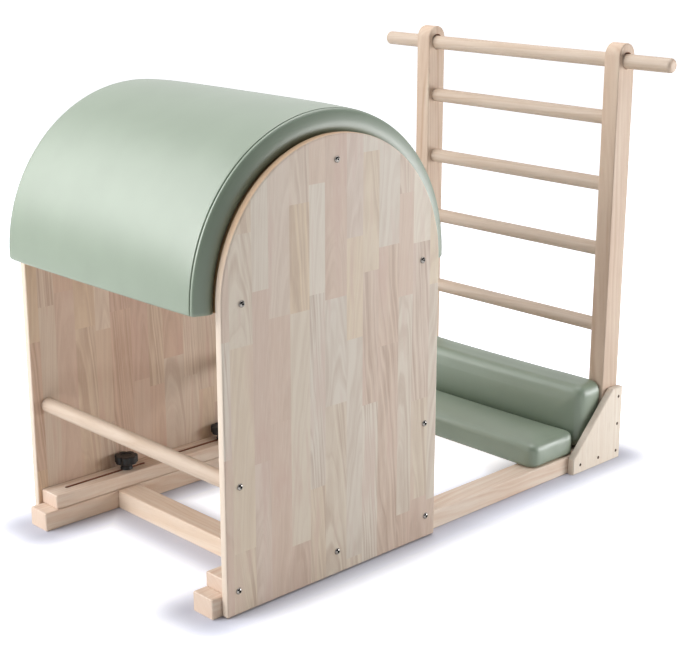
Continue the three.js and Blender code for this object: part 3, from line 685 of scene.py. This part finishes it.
# %% Uprights with a hole for the top bar
bar_low, bar_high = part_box("top_bar")
hole_clearance = 1.6 * mm  # between the radius of the bar and that of the hole
bar_rest = 0.3 * mm  # from the bar down to the hole's lowest point
flare = 1.4 * mm  # of the hole's countersunk rim
hole_radius = (bar_high.z - bar_low.z) / 2 + hole_clearance
hole_x, _, hole_z = middle_of(bar_low, bar_high)
hole_z += hole_clearance - bar_rest
for side in ("right", "left"):
    node = f"ladder_upright_{side}"
    low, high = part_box(node)
    rings = arched_plate(low, high, upright_edge)
    away = rings[0] - (hole_x, 0, hole_z)
    away[:, 1] = 0
    away /= np.linalg.norm(away, axis=-1, keepdims=True)
    depth = high.y - low.y
    bore = [(flare, 0.0), (flare * 0.9, 0.1 * flare), (0.0, flare), (0.0, depth - flare),
            (flare * 0.9, depth - 0.1 * flare), (flare, depth)]
    hole = np.array([(hole_x, low.y + y, hole_z) + away * (hole_radius + wider) for wider, y in bore])
    vertices, faces = skin(np.concatenate([rings, hole[::-1]]), loop=True)
    upright = make_piece(f"rounded_upright_{side}", vertices, faces, post_wood, "timber", [node])
    ring_number = np.arange(len(vertices)) // rings.shape[1]
    # The hole's walls are marked for the posts' painted shade.
    mark_recess(upright, (ring_number > len(rings)) & (ring_number < len(rings) + len(bore) - 1))
print("hole for the top bar:", round(hole_radius * 2 / mm, 1), "mm")

# %% [markdown]
# ## Turned pieces
# Rungs, the top bar and the foot bars are dowels. A turned piece is a profile carried round an axis.

# %% Turn a profile round an axis
def turned(radii, places, centre, axis, steps=48, share=None):
    """Rings round `axis` through `centre`: ring k has radius radii[k] at places[k] along the axis.

    The point at angle a is (r cos a, r sin a, place), with the three numbers dealt out so that the last
    one lies along `axis`. `share`, an array (ring, angle), makes a ring other than round."""
    angle = np.linspace(0, 2 * np.pi, steps, endpoint=False)
    radius = np.asarray(radii)[:, None] * (np.ones((len(radii), steps)) if share is None else share)
    along = np.broadcast_to(np.asarray(places)[:, None], radius.shape)
    points = np.stack([radius * np.cos(angle), radius * np.sin(angle), along], axis=-1)
    return np.roll(points, {"z": 0, "x": 1, "y": 2}[axis], axis=-1) + centre


def dowel(node, rounding):
    """A dowel along Y that fills the node's box, with quarter-round ends."""
    low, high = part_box(node)
    insets, places = rounded_ends(high.y - low.y, rounding, 1.05, 6)
    x, _, z = middle_of(low, high)
    return skin(turned((high.z - low.z) / 2 - insets, places, (x, low.y, z), "y"))


eased_end, handle_end = 1.5 * mm, 9 * mm  # radius of the ends
dowels = {"top_bar": handle_end, "foot_bar_front": eased_end, "foot_bar_rear": eased_end}
dowels.update({f"ladder_rung_{i}": eased_end for i in range(1, 5)})
for node, rounding in dowels.items():
    make_piece(f"turned_{node}", *dowel(node, rounding), dowel_wood, "dowel", [node])
print(len(dowels), "dowels")

# %% [markdown]
# ## The bent shell
# Under the padding a sheet of plywood is bent over three spreaders. It is a strip with a rectangular
# section, carried up one leg, round the half circle and down the other leg.

# %% Bend the shell
shell_low, shell_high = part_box("barrel_shell")
barrel_x = middle_of(shell_low, shell_high)[0]
spring_z = shell_low.z + leg_length
shell_radius = (shell_high.x - shell_low.x) / 2
shell_thickness = 9 * mm
path, outward = arch_path(shell_radius, spring_z, leg_length, 120, 3)
inward = np.array([0, 0, shell_thickness, shell_thickness])
lateral = np.array([shell_low.y, shell_high.y, shell_high.y, shell_low.y])
x, z = (path[:, i, None] - outward[:, i, None] * inward for i in range(2))
rings = np.stack([barrel_x + x, np.broadcast_to(lateral, x.shape), z], axis=-1)
make_piece("bent_shell", *skin(rings), shell_ply, "plywood", ["barrel_shell"])
print("shell radius", round(shell_radius / mm, 1), "mm")

# %% [markdown]
# ## Bolts and knobs
# Each bolt has a domed head with a hexagon socket. Each knob is one moulding: a waisted hub under a head
# with seven lobes and a shallow dish. Both are turned profiles whose rings change from round to
# six-sided or lobed where the shape asks for it.

# %% Domed bolts
def socketed(ring_count, steps):
    """Shares for round rings that end in a socket: the last three are regular hexagons, whose radius is
    their inner radius / cos of the angle to the middle of the nearest side."""
    angle = np.linspace(0, 2 * np.pi, steps, endpoint=False)
    hexagon = 1 / np.cos((angle + np.pi / 6) % (np.pi / 3) - np.pi / 6)
    return np.array([np.ones(steps)] * (ring_count - 3) + [hexagon] * 3)


bolt_steps = 36
head_radius, head_height, shank_radius = 7 * mm, 4.2 * mm, 3.8 * mm
socket_radius, socket_depth = 2.5 * mm, 2.4 * mm
dome = np.linspace(0, np.radians(68), 8)
dome_radii = head_radius * np.cos(dome)
dome_heights = head_height * np.sin(dome) / np.sin(dome[-1])
bolt_nodes = [name for name in frame["nodes"] if name.startswith("bolt_")]
for node in bolt_nodes:
    low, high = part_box(node)
    sign = -1 if low.y < 0 else 1
    head_foot = (high.y - head_height) if sign > 0 else (low.y + head_height)
    shank = (high.y - low.y) - head_height
    radii = np.r_[shank_radius * 0.8, shank_radius, shank_radius, dome_radii,
                  socket_radius * 1.12, socket_radius, socket_radius * 0.98]
    places = np.r_[-shank, -shank + 1 * mm, 0, dome_heights,
                   head_height, head_height - 0.3 * mm, head_height - socket_depth]
    x, _, z = middle_of(low, high)
    shares = socketed(len(radii), bolt_steps)
    rings = turned(radii, places * sign, (x, head_foot, z), "y", bolt_steps, shares)
    bolt = make_piece(f"domed_{node}", *skin(rings), zinc_plate, "steel", [node], crease=30)
    # Marks the socket for its dirt and painted shade.
    mark_recess(bolt, np.arange(len(bolt.data.vertices)) >= (len(radii) - 2) * bolt_steps)
print(len(bolt_nodes), "bolts")

# %% Star knobs
knob_steps = 168
lobe_count = 7
lobe_depth_share = 0.17  # of the head's radius
knob_radius, hub_radius, waist_radius = 27 * mm, 14.5 * mm, 13 * mm
hub_height, head_thickness = 15 * mm, 18 * mm
knob_edge = 2.6 * mm
dish_radius, dish_depth, dish_edge = 13 * mm, 1.6 * mm, 0.8 * mm


def lobes(steps):
    """Radius round the head as a share: 1 on a lobe, less in the narrow valleys between lobes."""
    angle = np.linspace(0, 2 * np.pi, steps, endpoint=False)
    ridge = np.sqrt((1 - np.cos(angle * lobe_count)) / 2)
    return 1 - lobe_depth_share * (1 - ridge) ** 1.5


edge_inset, edge_rise = quarter(knob_edge, 5)
head_top = hub_height + head_thickness
radii = np.r_[
    hub_radius - 1 * mm, hub_radius, waist_radius, waist_radius, hub_radius + 1 * mm, hub_radius + 4 * mm,
    (knob_radius - edge_inset)[::-1], knob_radius - edge_inset,
    dish_radius + dish_edge, dish_radius, dish_radius - dish_edge, dish_radius * 0.4,
]
places = np.r_[
    0, 1 * mm, hub_height * 0.4, hub_height * 0.7, hub_height, hub_height + 0.2 * mm,
    (hub_height + edge_rise)[::-1], head_top - edge_rise,
    head_top, head_top - 0.3 * mm, head_top - dish_depth, head_top - dish_depth,
]
lobed = np.r_[np.zeros(6), np.ones(12), np.zeros(4)][:, None]
knob_shares = 1 + (lobes(knob_steps)[None, :] - 1) * lobed
for node in [name for name in frame["nodes"] if name.startswith("star_knob_")]:
    low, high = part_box(node)
    x, y, _ = middle_of(low, high)
    rings = turned(radii, places, (x, y, low.z), "z", knob_steps, knob_shares)
    make_piece(f"moulded_{node}", *skin(rings), black_nylon, "black_plastic", [node], crease=40)
print("knobs stand", round(head_top / mm), "mm high")

# %% [markdown]
# ## Gusset screws
# Five flat-headed screws hold each gusset plate. Their heads sit in the countersinks, a hair below the
# wood, with a hexagon socket.

# %% Screws in the countersinks
screw_radius, screw_shank, screw_sink = 4.0 * mm, 2.1 * mm, 0.25 * mm
screw_inset, screw_rise, screw_step = 15 * mm, 20.5 * mm, 71 * mm
screw_steps = 24
screw_radii = [screw_shank, screw_shank, screw_radius, screw_radius, 1.7 * mm, 1.6 * mm, 1.5 * mm]
screw_places = np.array([-9.0, -2.3, -0.2, 0.0, 0.0, -0.2, -1.3]) * mm
screw_shares = socketed(len(screw_radii), screw_steps)
screw_spots = [(0, 0), (0, 1), (0, 2), (1, 0), (2, 0)]  # steps back from the foot's end, and up
for side in ("right", "left"):
    low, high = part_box(f"gusset_plate_{side}")
    face, sign = (low.y, -1) if side == "right" else (high.y, 1)
    screws = []
    for back, up in screw_spots:
        centre = (high.x - screw_inset - screw_step * back, face - sign * screw_sink,
                  low.z + screw_rise + screw_step * up)
        screws.append(skin(turned(screw_radii, screw_places * sign, centre, "y", screw_steps, screw_shares)))
    make_piece(f"gusset_screws_{side}", *joined(screws), brown_steel, "steel", [], body="base", crease=30)
print("ten gusset screws")

# %% [markdown]
# ## Upholstery
# A pad is foam on a board with vinyl pulled over it. The cover is under tension, so it swells a little
# between the places that hold it. Blender's cloth does that: the shape starts slightly too small, air
# pressure blows it up for twenty steps, and no point may move further than a cap. Averaging the moves of
# neighbouring points then takes out the creases, which vinyl pulled this tight doesn't have.

# %% Blow up a cover
easing_rounds = 12


def positions(mesh):
    """A mesh's vertices as an array (vertex, xyz)."""
    flat = np.empty(len(mesh.vertices) * 3, dtype=np.float32)
    mesh.vertices.foreach_get("co", flat)
    return flat.reshape(-1, 3).astype(float)


def eased(mesh, moves, held):
    """Moves averaged again and again with those of the vertices beside them. `held` vertices stay."""
    size = len(moves)
    ends = np.empty(len(mesh.edges) * 2, dtype=np.int32)
    mesh.edges.foreach_get("vertices", ends)
    a, b = ends.reshape(-1, 2).T
    count = np.bincount(ends, minlength=size)[:, None] + 1
    for _ in range(easing_rounds):
        beside = np.stack([np.bincount(a, moves[b, i], size) + np.bincount(b, moves[a, i], size)
                           for i in range(3)], axis=-1)
        moves = (moves + beside) / count * ~held[:, None]
    return moves


def swell(mesh, held, cap, pressure=4.0, frames=20):
    """Where cloth under air pressure ends up, as an array of moves (vertex, xyz). Vertices in `held`
    stay, and no move is longer than `cap`."""
    piece = new_object("swelling", mesh)
    group = piece.vertex_groups.new(name="held")
    group.add(np.flatnonzero(held).tolist(), 1.0, "REPLACE")
    cloth = piece.modifiers.new("cloth", "CLOTH")
    fabric = cloth.settings
    fabric.quality = 5
    fabric.mass = 0.3
    fabric.use_pressure = True
    fabric.uniform_pressure_force = pressure
    fabric.vertex_group_mass = "held"
    fabric.effector_weights.gravity = 0
    cloth.collision_settings.use_collision = False
    cloth.point_cache.frame_end = frames
    start = positions(mesh)
    scene = bpy.context.scene
    for step in range(1, frames + 1):
        scene.frame_set(step)
    evaluated = piece.evaluated_get(bpy.context.evaluated_depsgraph_get())
    move = positions(evaluated.data) - start
    bpy.data.objects.remove(piece)
    scene.frame_set(1)
    reach = np.linalg.norm(move, axis=-1, keepdims=True)
    return eased(mesh, move * np.minimum(1, cap / np.maximum(reach, 1e-9)), held)


# %% [markdown]
# The seat pad and the back pad are blocks with round corners, sides that draw in a little, and a crown.
# They have no seam to be seen: the vinyl is pulled round the corners and stapled underneath. Such a block
# is remeshed to even squares, so that the cloth swells evenly.

# %% Pads of the seat and the back
pad_corner, pad_pull, pad_hem, pad_crown = 26 * mm, 3 * mm, 5 * mm, 6 * mm
pad_slack = 1.5 * mm  # how much smaller the pad starts, all round
pad_swell = 2 * mm  # the most that air pressure may move its cover
pad_lift = 0.4 * mm  # of the cover off the board
pad_square = 5 * mm  # side of the squares
stapled_height = 4 * mm  # up to which the cover is held to the board


def pad_rings(length, width, thickness, rounding, ring_steps=12, side_points=24, corner_points=8):
    """Rings of an upholstered block on z = 0, from the turned-under hem to the middle of the crown.

    Each ring is a rectangle with round corners. Its sides draw in by pull * 4 s (1 - s). The rings climb
    the side, follow a quarter circle over the edge, and rise by crown * (1 - (1 - t)^2) to the middle."""
    turn = np.linspace(0, np.pi / 2, ring_steps + 1)
    reach = min(length, width) / 2 - rounding
    t = np.array([0.12, 0.25, 0.4, 0.55, 0.7, 0.85, 0.96])
    inset = np.r_[pad_hem, 0, rounding * (1 - np.cos(turn)), rounding + reach * t]
    height = np.r_[0, pad_hem, thickness - rounding + rounding * np.sin(turn),
                   thickness + pad_crown * (1 - (1 - t) ** 2)]
    pull = np.r_[0, pad_pull, np.full(len(turn), pad_pull), pad_pull * (1 - t)]
    radius = np.maximum(pad_corner - inset, pad_corner / 4)
    reaches = np.stack([length / 2 - inset - radius, width / 2 - inset - radius], axis=-1)
    signs = np.array([(1, 1), (-1, 1), (-1, -1), (1, -1)])
    angle = (np.arange(4)[:, None] + np.linspace(0, 1, corner_points)) * np.pi / 2
    round_it = np.stack([np.cos(angle), np.sin(angle)], axis=-1)
    arcs = (reaches[:, None] * signs)[:, :, None] + radius[:, None, None, None] * round_it
    s = np.linspace(0, 1, side_points + 2)[1:-1, None]
    sides = arcs[:, :, -1:] * (1 - s) + np.roll(arcs[:, :, :1], -1, axis=1) * s
    sides -= pull[:, None, None, None] * 4 * s * (1 - s) * round_it[:, -1:]
    plan = np.concatenate([arcs, sides], axis=2).reshape(len(height), -1, 2)
    heights = np.broadcast_to(height[:, None], plan.shape[:2])
    return np.dstack([plan, heights])


def remeshed(vertices, faces, voxel):
    """The same closed shape in even squares of side `voxel`."""
    piece = new_object("rough", new_mesh("rough", vertices, faces))
    grid = piece.modifiers.new("squares", "REMESH")
    grid.mode = "VOXEL"
    grid.voxel_size = voxel
    evaluated = piece.evaluated_get(bpy.context.evaluated_depsgraph_get())
    even = bpy.data.meshes.new_from_object(evaluated)
    bpy.data.objects.remove(piece)
    return even


def upholstered_pad(name, node, thickness, rounding, flat_back):
    """A swollen pad in its node's box. The crown faces up, or towards -X when `flat_back` is true."""
    low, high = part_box(node)
    size = high - low
    length = size.z if flat_back else size.x
    rings = pad_rings(length - pad_slack * 2, size.y - pad_slack * 2, thickness - pad_slack, rounding)
    rings[:, :, 2] += pad_lift
    x, _, z = middle_of(low, high)
    if flat_back:
        rings = rings[:, :, ::-1] * (-1, 1, 1) + (high.x, 0, z)
    else:
        rings += (x, 0, low.z)
    even = remeshed(*skin(rings), pad_square)
    start = positions(even)
    depth = (high.x - start[:, 0]) if flat_back else (start[:, 2] - low.z)
    start = start + swell(even.copy(), depth < stapled_height, pad_swell)
    polygons = [list(polygon.vertices) for polygon in even.polygons]
    pad = make_piece(name, start, polygons, sage_vinyl, "vinyl", [node], crease=180)
    fine = pad.modifiers.new("fine", "SUBSURF")
    fine.levels = fine.render_levels = 1
    print(name, "has", len(start), "points")


upholstered_pad("seat_upholstery", "seat_pad", 57 * mm, 16 * mm, False)
upholstered_pad("back_upholstery", "back_pad", 81 * mm, 24 * mm, True)

# %% [markdown]
# ## The padded drum
# The drum's cover is sewn from three pieces: one sheet over the arch and a band at each end. The seam runs
# round the outer edge. It shows as a thin dark groove, with the edge of the band standing up beside it.
# The section across the drum is drawn from the panel to the middle, and carried round the arch.

# %% Section across the drum
drum_low, drum_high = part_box("barrel_cushion")
half_base = (drum_high.y - drum_low.y) / 2
padding_inner = shell_radius + 0.3 * mm
padding_outer = (drum_high.x - drum_low.x) / 2
drum_crown = 3 * mm
thickness = padding_outer - drum_crown - padding_inner
seam_inset, root_inset = 15 * mm, 14 * mm
half_seam = half_base - seam_inset
groove_depth = 3.6 * mm
roll_height, roll_width = 8 * mm, 4.5 * mm


def drum_section():
    """Half of the section, from the middle of the inside, out along the shell, up the end band, through
    the seam and back to the middle of the top, as arrays of distance from the middle and of rise.

    With s from 0 at the shell to 1 at the seam, the band is turned in by root * (1 - s)^5, leans in by
    lean * s^2 and rolls over next to the seam along a quarter ellipse. The seam is a V-shaped groove.
    With t from 0 in the middle to 1 at the seam, the top falls by crown * t^4 and by a narrow roll."""
    inside = np.linspace(0, 1, 16, endpoint=False)
    inner = np.stack([half_base * inside, 0 * inside], axis=-1)
    s = np.r_[np.linspace(0, 0.8, 18, endpoint=False), np.linspace(0.8, 0.975, 16)]
    near = np.clip(1 - (1 - s) * thickness / roll_height, 0, 1)
    roll = roll_width * (1 - np.sqrt(1 - near ** 2))
    band_y = half_base - root_inset * (1 - s) ** 5 - (seam_inset - roll_width) * s ** 2 - roll
    band = np.stack([band_y, thickness * s], axis=-1)
    seam = np.array([
        (half_seam - 0.8 * mm, thickness - 1.1 * mm), (half_seam - 1.4 * mm, thickness - 1.6 * mm),
        (half_seam - groove_depth, thickness - groove_depth), (half_seam - 2.4 * mm, thickness - 1.4 * mm),
        (half_seam - 2.8 * mm, thickness - 0.4 * mm),
    ])
    t = np.r_[np.linspace(0.985, 0.9, 12), np.linspace(0.87, 0, 34)]
    rolled = 0.33 * mm * np.exp(-((1 - t) * half_seam / (5 * mm)) ** 2)
    top = np.stack([half_seam * t, thickness + drum_crown * (1 - t ** 4) - rolled], axis=-1)
    return np.vstack([inner, band, seam, top])


half_section = drum_section()
mirrored = half_section[::-1][1:-1] * (-1, 1)
full_section = np.vstack([half_section, mirrored])
print("section of", len(full_section), "points")

# %% Carry the section round the arch
end_rounding = 8 * mm


def drum_surface(section, stops):
    """The section carried round the arch, as an array (stop, point, xyz). `stops` run from 0 to 1: up one
    leg, round the half circle and down the other leg. Near both ends the section shrinks along a quarter
    circle, which rounds the lower edges."""
    arc = np.pi * padding_outer
    total = arc + leg_length * 2
    along = stops * total
    angle = np.clip((along - leg_length) / padding_outer, 0, np.pi)
    drop = np.maximum(np.maximum(leg_length - along, along - leg_length - arc), 0)
    from_end = np.minimum(along, total - along)
    near = np.minimum(from_end / end_rounding, 1)
    drawn = end_rounding * (1 - np.sqrt(1 - (1 - near) ** 2))
    y, rise = section[None, :, 0], section[None, :, 1]
    shrink = 1 - drawn[:, None] / thickness
    radius = padding_inner + rise * shrink
    width = 1 - (drawn[:, None] / half_base) * np.clip(rise / thickness, 0, 1)
    x = barrel_x - radius * np.cos(angle)[:, None]
    z = spring_z + radius * np.sin(angle)[:, None] - drop[:, None]
    return np.stack([x, y * width, z], axis=-1)


end_stops = np.array([0, 0.0004, 0.0012, 0.0025, 0.0042, 0.0065])
stops = np.r_[end_stops, np.linspace(0.01, 0.99, 196), 1 - end_stops[::-1]]
drum = drum_surface(full_section, stops)
print("drum of", drum.shape[0], "rings")

# %% [markdown]
# The cloth simulation runs on a coarser, evenly spaced copy of the same surface, held along the shell
# and along the seam. Its moves are then spread over the fine surface by blending between the four nearest
# points, so the seam keeps its detail.

# %% Swell the drum's cover
coarse_rings, coarse_points = 110, 132
shell_hold, seam_hold = 6 * mm, 7 * mm  # how far from the shell and from the seam the cover is held
drum_swell, drum_pressure = 5 * mm, 16.0


def evenly(section, count):
    """`count` points spaced evenly along a closed outline, and each old point's place on that scale."""
    closed = np.vstack([section, section[:1]])
    run = np.r_[0, np.cumsum(np.linalg.norm(np.diff(closed, axis=0), axis=-1))]
    marks = np.arange(count) / count * run[-1]
    even = np.stack([np.interp(marks, run, closed[:, i]) for i in range(2)], axis=-1)
    return even, run[:-1] / run[-1] * count


def spread(moves, rows, columns):
    """Moves on a coarse grid, read at fractional rows and columns. Columns wrap round, rows don't."""
    row = np.clip(np.floor(rows).astype(int), 0, len(moves) - 2)
    part_row = (rows - row)[:, None, None]
    column = np.floor(columns).astype(int) % moves.shape[1]
    part_column = (columns - np.floor(columns))[None, :, None]
    beside = (column + 1) % moves.shape[1]
    near, far = (line[:, column] * (1 - part_column) + line[:, beside] * part_column
                 for line in (moves[row], moves[row + 1]))
    return near * (1 - part_row) + far * part_row


coarse_section, column_places = evenly(full_section, coarse_points)
coarse = drum_surface(coarse_section, np.linspace(0, 1, coarse_rings))
seam_distance = np.hypot(np.abs(coarse_section[:, 0]) - half_seam, coarse_section[:, 1] - thickness)
held = np.zeros(coarse.shape[:2], dtype=bool)
held[:, (coarse_section[:, 1] < shell_hold) | (seam_distance < seam_hold)] = True
held[[0, 1, -2, -1]] = True
rough = new_mesh("coarse_cover", *skin(coarse))
moves = swell(rough, np.append(held, [True, True]), drum_swell, drum_pressure)
moves = moves[:-2].reshape(coarse.shape)
print("largest move of the cover:", round(float(np.abs(moves).max()) / mm, 2), "mm")
drum = drum + spread(moves, stops * (coarse_rings - 1), column_places)

cover = make_piece("barrel_upholstery", *skin(drum), sage_vinyl, "vinyl", ["barrel_cushion"], crease=60)
print("cover has", len(cover.data.vertices), "points")

# %% [markdown]
# ## Check the size
# The dressed object's box is set against the frame's box, and the largest change is printed. Swollen
# fabric may add a few millimetres.

# %% Compare the boxes
dressed_box = [list(corner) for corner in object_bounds()]
growth = np.abs(np.subtract(dressed_box, cad_box)).max()
print("largest change of the box:", round(float(growth) / mm, 2), "mm")
